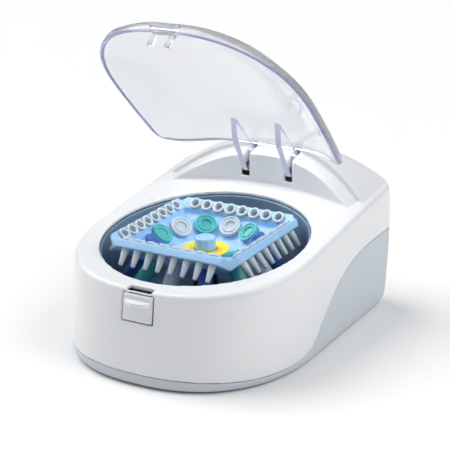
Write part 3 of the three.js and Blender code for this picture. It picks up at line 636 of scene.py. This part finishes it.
def rotor_chamber():
    """The bowl: turned, with its wall stretched to follow the sloping deck."""
    wall, under_deck = 2.0, 0.1
    rim = DECK_HEIGHT - WALL - under_deck
    outer = [
        (SHAFT_HOLE, BOWL_FLOOR),
        (SHAFT_HOLE, BOWL_FLOOR - wall),
        (57, BOWL_FLOOR - wall),
        (63.5, BOWL_FLOOR + 0.5),
        (66.6, BOWL_FLOOR + 8),
        (68.55, rim),
    ]
    inner = [
        (66.55, rim),
        (64.6, BOWL_FLOOR + 8),
        (62, BOWL_FLOOR + 2.3),
        (56, BOWL_FLOOR),
        (SHAFT_HOLE + 1, BOWL_FLOOR),
        (SHAFT_HOLE, BOWL_FLOOR),
    ]
    profile = rounded(outer + inner, 3.0, 6)
    sides = 160

    def slope_top(points):
        share = np.clip((points[:, 2] - (BOWL_FLOOR + 8)) / (rim - BOWL_FLOOR - 8), 0, 1)
        points[:, 2] += share * DECK_SLOPE * points[:, 1]
        return points

    bowl = lathe("bowl", profile, sides, slope_top)
    return dress(bowl, "bowl_grey", "base", "rotor_chamber")


# ---- rotor --------------------------------------------------------------------------------------

DOWN = (math.sin(TUBE_LEAN), -math.cos(TUBE_LEAN))
ACROSS = (math.cos(TUBE_LEAN), math.sin(TUBE_LEAN))
SIDES = {"right": 0.0, "back": math.pi / 2, "left": math.pi, "front": -math.pi / 2}


def from_mouth(radius, height, down, across):
    """A (radius, height) point, down a leaning tube from its mouth and across it."""
    return (
        radius + down * DOWN[0] + across * ACROSS[0],
        height + down * DOWN[1] + across * ACROSS[1],
    )


def leaning(radius, height, turn, along=0.0):
    """Carries a piece built on +Z, mouth at the origin, to its leaning place on the rotor."""
    tilt = np.array(Matrix.Rotation(-TUBE_LEAN, 3, "Y"))
    spin = np.array(Matrix.Rotation(turn, 3, "Z"))

    def place(points):
        return (points @ tilt.T + [radius, along, height]) @ spin.T

    return place


def placed(made, place):
    """Moves a finished piece's mesh, still in millimetres from the rotor's axis."""
    points = np.array([vertex.co for vertex in made.data.vertices]) * 1000 + [0, FOOTPRINT_MIDDLE, 0]
    for vertex, point in zip(made.data.vertices, mm(place(points))):
        vertex.co = point
    made.data.update()
    return made


def strip_offsets():
    return [(i - (STRIP_TUBES - 1) / 2) * STRIP_PITCH for i in range(STRIP_TUBES)]


def microtube_turns():
    return [2 * math.pi * i / MICROTUBES for i in range(MICROTUBES)]


def square_ring(name, profile):
    """A profile of (distance, height) pairs carried round a square, mitred at the corners."""
    corners = ((1, -1), (1, 1), (-1, 1), (-1, -1))
    points = [(distance * a, distance * b, height) for distance, height in profile for a, b in corners]
    faces = []
    for row in range(len(profile)):
        for column in range(4):
            after = (column + 1) % 4
            low, high = row * 4, ((row + 1) % len(profile)) * 4
            faces.append((low + column, low + after, high + after, high + column))
    return new_object(name, points, faces)


def rotor():
    """The square tray and its hub, with a bore for every tube."""
    inner = 3.0
    hub = lathe("rotor_body", [
        (inner, 45.5),
        (10, 45.5),
        (16, 50),
        from_mouth(CAP_RADIUS, CAP_HEIGHT, CAP_SEAT + PLATE_DEPTH, -8),
        from_mouth(CAP_RADIUS, CAP_HEIGHT, CAP_SEAT + PLATE_DEPTH, 7),
        from_mouth(CAP_RADIUS, CAP_HEIGHT, CAP_SEAT, 7),
        from_mouth(CAP_RADIUS, CAP_HEIGHT, CAP_SEAT, -9),
        (21.5, 56.5),
        (20.5, 60.2),
        (inner, 60.2),
        (inner, 45.5),
    ], 128)
    dish = square_ring("dish", [
        (30, 58),
        (33.5, 59.6),
        from_mouth(STRIP_RADIUS, STRIP_HEIGHT, STRIP_SEAT + PLATE_DEPTH, 4.5),
        from_mouth(STRIP_RADIUS, STRIP_HEIGHT, STRIP_SEAT, 4.5),
        from_mouth(STRIP_RADIUS, STRIP_HEIGHT, STRIP_SEAT, -3.7),
        (38, 67.6),
        (30, 60.9),
    ])
    diamond = CORNER_REACH * math.sqrt(2)
    corners = prism("corners", [(diamond, 0), (0, diamond), (-diamond, 0), (0, -diamond)], 20, 120)
    body = join(hub, keep_inside(dish, corners))
    bores = [
        placed(post(0, 0, -45, 12, 6.1, 32), leaning(CAP_RADIUS, CAP_HEIGHT, turn))
        for turn in microtube_turns()
    ]
    for turn in SIDES.values():
        for along in strip_offsets():
            bore = post(0, 0, -14, 8, 3.7, 24)
            bores.append(placed(bore, leaning(STRIP_RADIUS, STRIP_HEIGHT, turn, along)))
    even, odd, small = bores[0:MICROTUBES:2], bores[1:MICROTUBES:2], bores[MICROTUBES:]
    body = cut(body, merged("bores_a", even), merged("bores_b", odd), merged("bores_c", small))
    body = soften(body, voxel=0.5, passes=2)
    return dress(body, "rotor_blue", "rotor", "rotor")


def rotor_label():
    """A thin plain disc round the knob."""
    inner, outer, low, high = 7.6, 15.5, 60.5, 60.9
    profile = rounded([(inner, low), (outer, low), (outer, high), (inner, high), (inner, low)], 0.15, 3)
    return dress(lathe("rotor_film", profile, 96), "label_yellow", "rotor", "rotor_label")


def rotor_knob():
    """A low round knob with a finger dish and a ring of grip flutes."""
    profile = rounded([
        (0, 67),
        (2.9, 67),
        (2.9, 60.6),
        (6.95, 60.6),
        (6.95, 68.2),
        (6.1, 69),
        (4.4, 69),
        (3.9, 68.1),
        (0, 68.1),
    ], 0.45, 4)
    flutes, depth = 12, 0.28

    def flute(points):
        radius = np.hypot(points[:, 0], points[:, 1])
        angle = np.arctan2(points[:, 1], points[:, 0])
        grip = (radius > 6.0) & (points[:, 2] > 61.2) & (points[:, 2] < 68.4)
        dent = depth * (0.5 + 0.5 * np.cos(flutes * angle)) ** 3
        factor = np.where(grip, 1 - dent / np.maximum(radius, 1), 1)
        return points * np.column_stack([factor, factor, np.ones_like(factor)])

    knob = lathe("knob", profile, 144, flute)
    return dress(knob, "rotor_blue", "knob", "rotor_knob")


# ---- tubes --------------------------------------------------------------------------------------


def tube_strip(name, turn):
    """Eight thin-walled open tubes joined at the rims by short bridges."""
    profile = rounded([
        (0, -18.4),
        (1.35, -17.9),
        (1.6, -15.5),
        (3.05, -4.0),
        (3.15, -1.7),
        (4.1, -1.7),
        (4.1, 0),
        (2.6, 0),
        (2.35, -3.5),
        (0.9, -15.6),
        (0, -16.4),
    ], 0.4, 3)
    parts = []
    for along in strip_offsets():
        place = leaning(STRIP_RADIUS, STRIP_HEIGHT, turn, along)
        parts.append(lathe("tube", profile, 40, place))
    for along in strip_offsets()[1:]:
        bridge = bevel(block(-1.3, 1.3, -0.9, 0.9, -1.4, -0.5), 0.2, 2)
        parts.append(placed(bridge, leaning(STRIP_RADIUS, STRIP_HEIGHT, turn, along - STRIP_PITCH / 2)))
    strip = merged("strip_" + name, parts)
    return dress(strip, "strip_clear", "rotor", "tube_strip_" + name)


def microtube(index, turn, slot):
    """A capped microtube: stepped cap with a sunken middle, and a body that tapers to a rounded tip."""
    profile = rounded([
        (0, -40),
        (1.9, -39),
        (4.9, -20),
        (5.25, -2.6),
        (7.3, -2.6),
        (7.3, 0),
        (6.1, 0),
        (5.8, -0.6),
        (5.0, -0.6),
        (4.7, 0),
        (3.9, -0.1),
        (3.5, -1.4),
        (0, -1.4),
    ], 0.35, 3)
    number = f"{index + 1:02d}"
    tube = lathe("tube_" + number, profile, 56, leaning(CAP_RADIUS, CAP_HEIGHT, turn))
    return dress(tube, slot, "rotor", "microtube_" + number)


MICROTUBE_SLOTS = [
    "tube_clear", "tube_blue", "tube_teal", "tube_clear", "tube_teal", "tube_clear",
    "tube_teal", "tube_blue", "tube_teal", "tube_clear", "tube_blue", "tube_teal",
]

# ---- lid ----------------------------------------------------------------------------------------


def lid_half_width(y):
    if y >= 0:
        return LID_HALF_WIDTH - LID_REAR_NARROWING * (y / ARCH_WALL_Y) ** 2
    return LID_HALF_WIDTH * max(0.0, 1 - (-y / LID_FRONT_REACH) ** LID_POWER) ** (1 / LID_POWER)


def lid_rise(y):
    """Height of the lid's middle over the deck."""
    crown_power, nose_power = 3.8, 0.6
    share = max(0.0, (LID_PEAK_Y - y) / (LID_PEAK_Y + LID_FRONT_REACH))
    return LID_SKIRT + (LID_RISE - LID_SKIRT) * max(0.0, 1 - share**crown_power) ** nose_power


def dome_height(x, y):
    """Height of the lid's outer surface over the deck's plane."""
    half = lid_half_width(max(y, -LID_FRONT_REACH * 0.999))
    across = min(1.0, abs(x) / max(half, 1e-3))
    return LID_SKIRT + (lid_rise(y) - LID_SKIRT) * (1 - across**LID_ARCH_POWER)


def rear_edge_y(x, radius):
    """How far back the curved wall, or a curve parallel to it, lies at x."""
    return ARCH_WALL_Y - ARCH_WALL_RADIUS + np.sqrt(radius**2 - x**2)


def lid_outline(inset):
    """Plan of the lid: round the front from the left rear corner, then back along the rear arch."""
    cut_radius = ARCH_WALL_RADIUS + LID_OVERLAP
    corner_x = lid_half_width(LID_CORNER_Y) - inset
    corner = np.array([corner_x, rear_edge_y(corner_x, cut_radius)])
    side_end = corner[1] - LID_CORNER_REACH
    rear_end_x = corner_x - LID_CORNER_REACH
    start = np.array([lid_half_width(side_end) - inset, side_end])
    end = np.array([rear_end_x, rear_edge_y(rear_end_x, cut_radius)])
    right = [(lid_half_width(y) - inset, y) for y in np.linspace(0, side_end, 22)[1:]]
    for share in np.linspace(0, 1, 15)[1:]:
        right.append(mix(mix(start, corner, share), mix(corner, end, share), share))
    nose = []
    for angle in np.linspace(math.pi, 2 * math.pi, 121):
        across = abs(math.cos(angle)) ** (2 / LID_POWER)
        ahead = abs(math.sin(angle)) ** (2 / LID_POWER)
        x = (LID_HALF_WIDTH - inset) * math.copysign(across, math.cos(angle))
        nose.append((x, -(LID_FRONT_REACH - inset) * ahead))
    left = np.array(right)[::-1] * (-1, 1)
    rear = [(x, rear_edge_y(x, cut_radius)) for x in np.linspace(rear_end_x, -rear_end_x, 60)[1:-1]]
    return np.vstack([left, nose, right]), np.array(rear)


def outer_face(plan):
    """Points on the lid's outer surface, over a plan."""
    return np.column_stack([plan, [deck_z(y) + dome_height(x, y) for x, y in plan]])


def inner_face(plan):
    """Points on the lid's inner surface, over a plan."""
    stretch = LID_HALF_WIDTH / (LID_HALF_WIDTH - LID_WALL)
    return np.column_stack([plan, [deck_z(y) + dome_height(x * stretch, y) - LID_WALL for x, y in plan]])


def rim_rows(outer, inner, skirted):
    """Rows from the outer edge down, under and up to the inner edge; only the skirted part hangs."""
    top_out, top_in = outer_face(outer), inner_face(inner)
    floor_out = under_skirt(outer, top_out[:, 2] - LID_WALL)
    floor_in = under_skirt(inner, top_in[:, 2])
    rows = []
    for step in range(1, RIM_STEPS + 1):
        share = step / RIM_STEPS
        row = mix(top_out, top_in, share)
        for i in range(skirted):
            row[i] = rim_point(top_out[i], floor_out[i], floor_in[i], top_in[i], share)
        rows.append(row)
    return rows


def dome():
    """The lid's shell as one closed grid: outer face, rim and inner face."""
    outer_front, outer_rear = lid_outline(0)
    inner_front, inner_rear = lid_outline(LID_WALL)
    outer, inner = np.vstack([outer_front, outer_rear]), np.vstack([inner_front, inner_rear])
    centre = np.array([0.0, 8.0])
    face_rows, crowding = 39, 1.9
    shares = 1 - (1 - np.linspace(0, 1, face_rows + 1)[1:]) ** crowding
    rows = [outer_face(centre + share * (outer - centre)) for share in shares]
    rows += rim_rows(outer, inner, len(outer_front))
    rows += [inner_face(centre + share * (inner - centre)) for share in shares[::-1][1:]]

    count = len(outer)
    last_row = (len(rows) - 1) * count
    outer_middle, inner_middle = len(rows) * count, len(rows) * count + 1
    points = np.concatenate([*rows, outer_face([centre]), inner_face([centre])])
    faces = [tuple(reversed(face)) for face in ring_faces(len(rows), count)]
    for i in range(count):
        j = (i + 1) % count
        faces.append((i, j, outer_middle))
        faces.append((last_row + j, last_row + i, inner_middle))
    tinted_rows = {len(shares) - 1 + step for step in RIM_TINTED}
    return points, faces, tinted_rows, count


def under_skirt(ring, top):
    """The skirt's lower edge, which rises to the lid's own edge where it nears the arch's wall."""
    floor = np.column_stack([ring, [deck_z(y) + SKIRT_LIFT for y in ring[:, 1]]])
    clear_of_wall = 2.0
    ahead = rear_edge_y(ring[:, 0], ARCH_WALL_RADIUS) - ring[:, 1]
    faded = np.clip((SKIRT_FADE - ahead) / (SKIRT_FADE - clear_of_wall), 0, 1)
    floor[:, 2] = mix(floor[:, 2], top, faded)
    return floor


def rim_point(top_out, floor_out, floor_in, top_in, share):
    """A point on the way down the outer skirt, under the edge with rounded corners, and up inside."""
    bend = 0.9
    across = (floor_in - floor_out) / max(np.linalg.norm(floor_in - floor_out), 1e-6)
    up = np.array([0.0, 0.0, 1.0])
    inside = min(bend, 0.5 * (top_in[2] - floor_in[2]))
    path = [
        top_out,
        mix(top_out, floor_out, 0.5),
        floor_out + up * bend,
        floor_out + up * bend * 0.3 + across * bend * 0.3,
        floor_out + across * bend,
        floor_in - across * bend,
        floor_in + up * inside * 0.3 - across * bend * 0.3,
        floor_in + up * inside,
        mix(floor_in, top_in, 0.5),
        top_in,
    ]
    at = share * (len(path) - 1)
    k = min(int(at), len(path) - 2)
    return mix(path[k], path[k + 1], at - k)


def opened(points):
    """Swings points of the closed lid to the open place they have at rest."""
    points = np.asarray(points, float) - [0, HINGE_Y, HINGE_Z]
    turn = np.array(Matrix.Rotation(-LID_OPEN_ANGLE, 3, "X"))
    return points @ turn.T + [0, HINGE_Y, HINGE_Z]


def lid():
    """The clear dome, tinted along its rim, where its edge gathers light."""
    points, faces, tinted_rows, count = dome()
    shell = new_object("lid_dome", opened(points), faces)
    dress(shell, "lid_clear", "lid", "lid")
    shell.visible_shadow = False
    shell.data.materials.append(RIM_LOOK)
    for face in shell.data.polygons:
        rows = {vertex // count for vertex in face.vertices}
        if rows <= tinted_rows:
            face.material_index = 1
    return shell


def hinge_arm(name, side):
    """A clear kite from the hinge pin up to the lid, its edge faces painted lighter and lavender for the
    light its thick edges gather.
    """
    knuckle, half_thickness, bore, steps = 3.6, 2.1, 1.8, 12
    kite = [(53, 99.6), (68, 90.5), (97, 86.6), (100, 88.6), (HINGE_Y + knuckle, HINGE_Z - 1)]
    for i in range(steps + 1):
        angle = math.pi / 2 * i / steps
        kite.append((HINGE_Y + knuckle * math.cos(angle), HINGE_Z + knuckle * math.sin(angle)))
    kite.append((86.5, 102.4))
    centre = side * HINGE_X
    arm = prism("arm_" + name, kite, centre - half_thickness, centre + half_thickness, "x")
    arm = keep_inside(arm, under_lid())
    arm = cut(arm, rod("x", centre - 4, centre + 4, HINGE_Y, HINGE_Z, bore))
    arm = bevel(arm, 0.35, 2, 30)
    placed(arm, opened)
    dress(arm, "lid_clear", "lid", "hinge_arm_" + name, look="arm_clear")
    arm.visible_shadow = False
    # The edge faces take the painted edge highlight; the broad faces stay clear.
    arm.data.materials.append(LOOK["arm_lit_edge"])
    for face in arm.data.polygons:
        face.material_index = int(abs(face.normal.x) < 0.9)
    return arm


def under_lid():
    """A block of the space under the lid's inner face, near the hinge."""
    front, rear, floor, reach = 40, 110, 60, 26
    ys = np.linspace(front, rear, 36)
    sections = []
    for x in np.linspace(-reach, reach, 14):
        top = [(x, y, deck_z(y) + dome_height(x, y) - LID_WALL - GAP) for y in ys]
        bottom = [(x, y, floor) for y in ys[::-1]]
        sections.append(np.array(top + bottom)[::-1])
    return loft("under_lid", sections)


def lid_catch():
    """A tab at the lid's front edge, with a shelf under the rim and two hooks."""
    rim = deck_z(-LID_FRONT_REACH) + SKIRT_LIFT
    behind = -LID_FRONT_REACH - GAP - 0.2
    tab = bevel(block(-10, 10, -82, behind, rim + 0.4, rim + 3, "lid_catch_clip"), 0.5)
    shelf = block(-8, 8, -78.5, -75.5, rim - 1.6, rim - GAP)
    stem = block(-8, 8, -78.5, behind, rim - 1, rim + 1)
    hooks = []
    for side in (-1, 1):
        centre = side * 6
        hook = [
            (-77, rim - 1), (-77, rim - 7), (-77.8, rim - 7.8), (-77.8, rim - 8.6),
            (-76.6, rim - 10.4), (-75.4, rim - 10.4), (-75.4, rim - 1),
        ]
        hooks.append(prism("hook", hook, centre - 1.8, centre + 1.8, "x"))
    catch = bevel(join(tab, shelf, stem, *hooks), 0.2, 2)
    placed(catch, opened)
    return dress(catch, "lid_clear", "lid", "lid_catch")


# ---- latch and small fittings -------------------------------------------------------------------


def latch_panel():
    """The pull panel in the front window, with a half-moon lip."""
    extra_gap = 0.35
    gap = LATCH_GAP + extra_gap
    half = LATCH_HALF_WIDTH - gap
    window = block(-half, half, -100, -76, LATCH_BOTTOM + gap, LATCH_TOP - gap)
    face = keep_inside(cut(body_solid(0, "latch_face"), body_solid(WALL)), window)
    face = cut(face, hook_slot())
    lip_half_width, lip_reach = 9.2, 6.6
    lip = []
    for angle in np.linspace(math.pi, 2 * math.pi, 41):
        lip.append((lip_half_width * math.cos(angle), -80 + lip_reach * math.sin(angle)))
    shelf = prism("lip", lip, 51.4, 54)
    boss = block(-half + 2, half - 2, -82, -77.4, 40.8, 44.4)
    bore = rod("x", -20, 20, LATCH_PIVOT_Y, LATCH_PIVOT_Z, 1.2)
    panel = soften(cut(join(face, shelf, boss), bore), voxel=0.25, passes=4)
    return dress(panel, "housing_white", "latch", "latch_panel")


def base_screw(name, x, y):
    """A pan-head screw with a cross recess."""
    head, shank = 3.4, 1.5
    profile = rounded([
        (0, UNDERSIDE - 0.8),
        (head, UNDERSIDE - 0.8),
        (head, UNDERSIDE + 0.9),
        (shank, UNDERSIDE + 0.9),
        (shank, 18),
        (0, 19),
    ], 0.3, 3)
    screw = lathe("screw_" + name, profile, 40, lambda points: points + [x, y, 0])
    arms = [block(x - u, x + u, y - v, y + v, -1, UNDERSIDE + 0.3) for u, v in ((1.9, 0.35), (0.35, 1.9))]
    return dress(cut(screw, *arms), "steel", "base", "base_screw_" + name)


def foot(name, x, y):
    """A rubber foot with a shallow moulded ring underneath."""
    radius = 6.5
    profile = rounded([
        (0, 0.35),
        (2.6, 0.35),
        (3.1, 0),
        (radius - 0.8, 0),
        (radius, 0.8),
        (radius, UNDERSIDE + 1.2),
        (0, UNDERSIDE + 1.2),
    ], 0.3, 3)
    pad = lathe("foot_pad_" + name, profile, 56, lambda points: points + [x, y, 0])
    return dress(pad, "rubber", "base", "foot_" + name)


def along_y(x, y, z):
    """Turns a piece built on +Z so that it points to the rear from (x, y, z)."""
    turn = np.array(Matrix.Rotation(-math.pi / 2, 3, "X"))
    return lambda points: points @ turn.T + [x, y, z]


def power_inlet():
    """A round socket with a centre pin, open to the rear."""
    radius = INLET_RADIUS - GAP
    body = lathe("inlet", rounded([
        (0, 0), (radius, 0), (radius, 14.6), (3.1, 14.6), (3.1, 3), (1, 3), (1, 13.2), (0, 13.5),
    ], 0.35, 3), 56, along_y(INLET_X, 104, INLET_Z))
    return dress(body, "black_plastic", "base", "power_inlet")


def rocker_bezel():
    """The hollow frame that the switch's key tips in."""
    wide, high = ROCKER_HALF_WIDTH - GAP, ROCKER_HALF_HEIGHT - GAP
    body = block(ROCKER_X - wide, ROCKER_X + wide, 103, 120, ROCKER_Z - high, ROCKER_Z + high, "bezel")
    hollow = block(
        ROCKER_X - wide + 1.6, ROCKER_X + wide - 1.6, 106, 125, ROCKER_Z - high + 1.6, ROCKER_Z + high - 1.6
    )
    return dress(bevel(cut(body, hollow), 0.35), "black_plastic", "base", "rocker_bezel")


def rocker_key():
    """The switch's key, with a hollow face, tipped as it rests."""
    profile = [(-4.5, -3), (2, -3.9), (4.4, -3.9)]
    for i in range(9):
        z = mix(-3.6, 3.6, i / 8)
        profile.append((3.4 + 1.0 * (z / 3.9) ** 2, z))
    profile += [(4.4, 3.9), (2, 3.9), (-4.5, 3)]
    key = prism("key", profile, ROCKER_X - 7.6, ROCKER_X + 7.6, "x")
    turn = np.array(Matrix.Rotation(ROCKER_TILT, 3, "X"))
    placed(key, lambda points: points @ turn.T + [0, ROCKER_PIVOT_Y, ROCKER_Z])
    return dress(bevel(key, 0.3), "rubber", "rocker", "rocker_key")


# ---- build --------------------------------------------------------------------------------------

upper_housing()
lower_base()
rotor_chamber()
rotor()
rotor_label()
rotor_knob()
for side_name, side_turn in SIDES.items():
    tube_strip(side_name, side_turn)
for tube_index, tube_turn in enumerate(microtube_turns()):
    microtube(tube_index, tube_turn, MICROTUBE_SLOTS[tube_index])
lid()
hinge_arm("left", -1)
hinge_arm("right", 1)
lid_catch()
latch_panel()
for corner_name, (corner_x, corner_y) in CORNERS.items():
    base_screw(corner_name, corner_x, corner_y)
for foot_name, (foot_x, foot_y) in FEET.items():
    foot(foot_name, foot_x, foot_y)
power_inlet()
rocker_bezel()
rocker_key()

# The inner pieces keep the CAD's shapes and take the look of their slot.
SLOT_OF = {row["node"]: row["material_slot"] for row in frame["record"]["subparts"]}
for node_name, node in frame["nodes"].items():
    if not node.hide_render:
        node.data.materials.clear()
        node.data.materials.append(LOOK[SLOT_OF[node_name]])

# ---- stage, light and camera --------------------------------------------------------------------


def soft_sun(name, direction, strength):
    """Even light from a wide patch of sky, so that the floor is lit alike everywhere."""
    light = bpy.data.lights.new(name, "SUN")
    light.energy = strength
    light.angle = math.radians(50)
    made = bpy.data.objects.new(name, light)
    made.rotation_euler = Vector(direction).to_track_quat("Z", "Y").to_euler()
    bpy.context.scene.collection.objects.link(made)


def stage():
    """A pale floor, a pale sky and three soft lights."""
    reach = 4000
    points = [(-reach, -reach, 0), (reach, -reach, 0), (reach, reach, 0), (-reach, reach, 0)]
    floor = new_object("floor", points, [(0, 1, 2, 3)])
    look = Looks("floor_white")
    look.tint(look.noise(400, 1), (0.935, 0.935, 0.935), (0.945, 0.945, 0.945))
    look.set(Roughness=0.6)
    floor.data.materials.append(look.material)

    world = bpy.data.worlds.new("pale_studio")
    world.use_nodes = True
    world.node_tree.nodes["Background"].inputs["Color"].default_value = (0.92, 0.955, 1.0, 1)
    world.node_tree.nodes["Background"].inputs["Strength"].default_value = 0.22
    bpy.context.scene.world = world

    soft_sun("left_sky", (-0.6, 0.05, 0.8), 1.95)
    soft_sun("right_sky", (0.7, 0.08, 0.7), 1.6)
    soft_sun("left_window", (-0.95, -0.15, 0.3), 0.6)


def camera():
    """The photograph's view: about 30 degrees to the right of the front and 20 degrees above."""
    azimuth, elevation, roll = math.radians(29.88), math.radians(19.562), math.radians(-0.832)
    distance, aim_height, shift_right, shift_up = 933.5, 69, 12.7, 7.3
    back = Vector((
        math.sin(azimuth) * math.cos(elevation),
        -math.cos(azimuth) * math.cos(elevation),
        math.sin(elevation),
    ))
    level = Vector((math.cos(azimuth), math.sin(azimuth), 0))
    upright = back.cross(level)
    right = level * math.cos(roll) + upright * math.sin(roll)
    up = upright * math.cos(roll) - level * math.sin(roll)
    aim = Vector((0, -FOOTPRINT_MIDDLE, aim_height))
    place = aim + back * distance + right * shift_right + up * shift_up
    lens = bpy.data.cameras.new("camera")
    lens.sensor_width, lens.lens = 36, 116.024
    lens.clip_start, lens.clip_end = 0.05, 20
    made = bpy.data.objects.new("camera", lens)
    turn = Matrix((right, up, back)).transposed().to_4x4()
    made.matrix_world = Matrix.Translation(place * 0.001) @ turn
    bpy.context.scene.collection.objects.link(made)
    bpy.context.scene.camera = made


stage()
camera()
bpy.context.scene.view_settings.view_transform = "Standard"
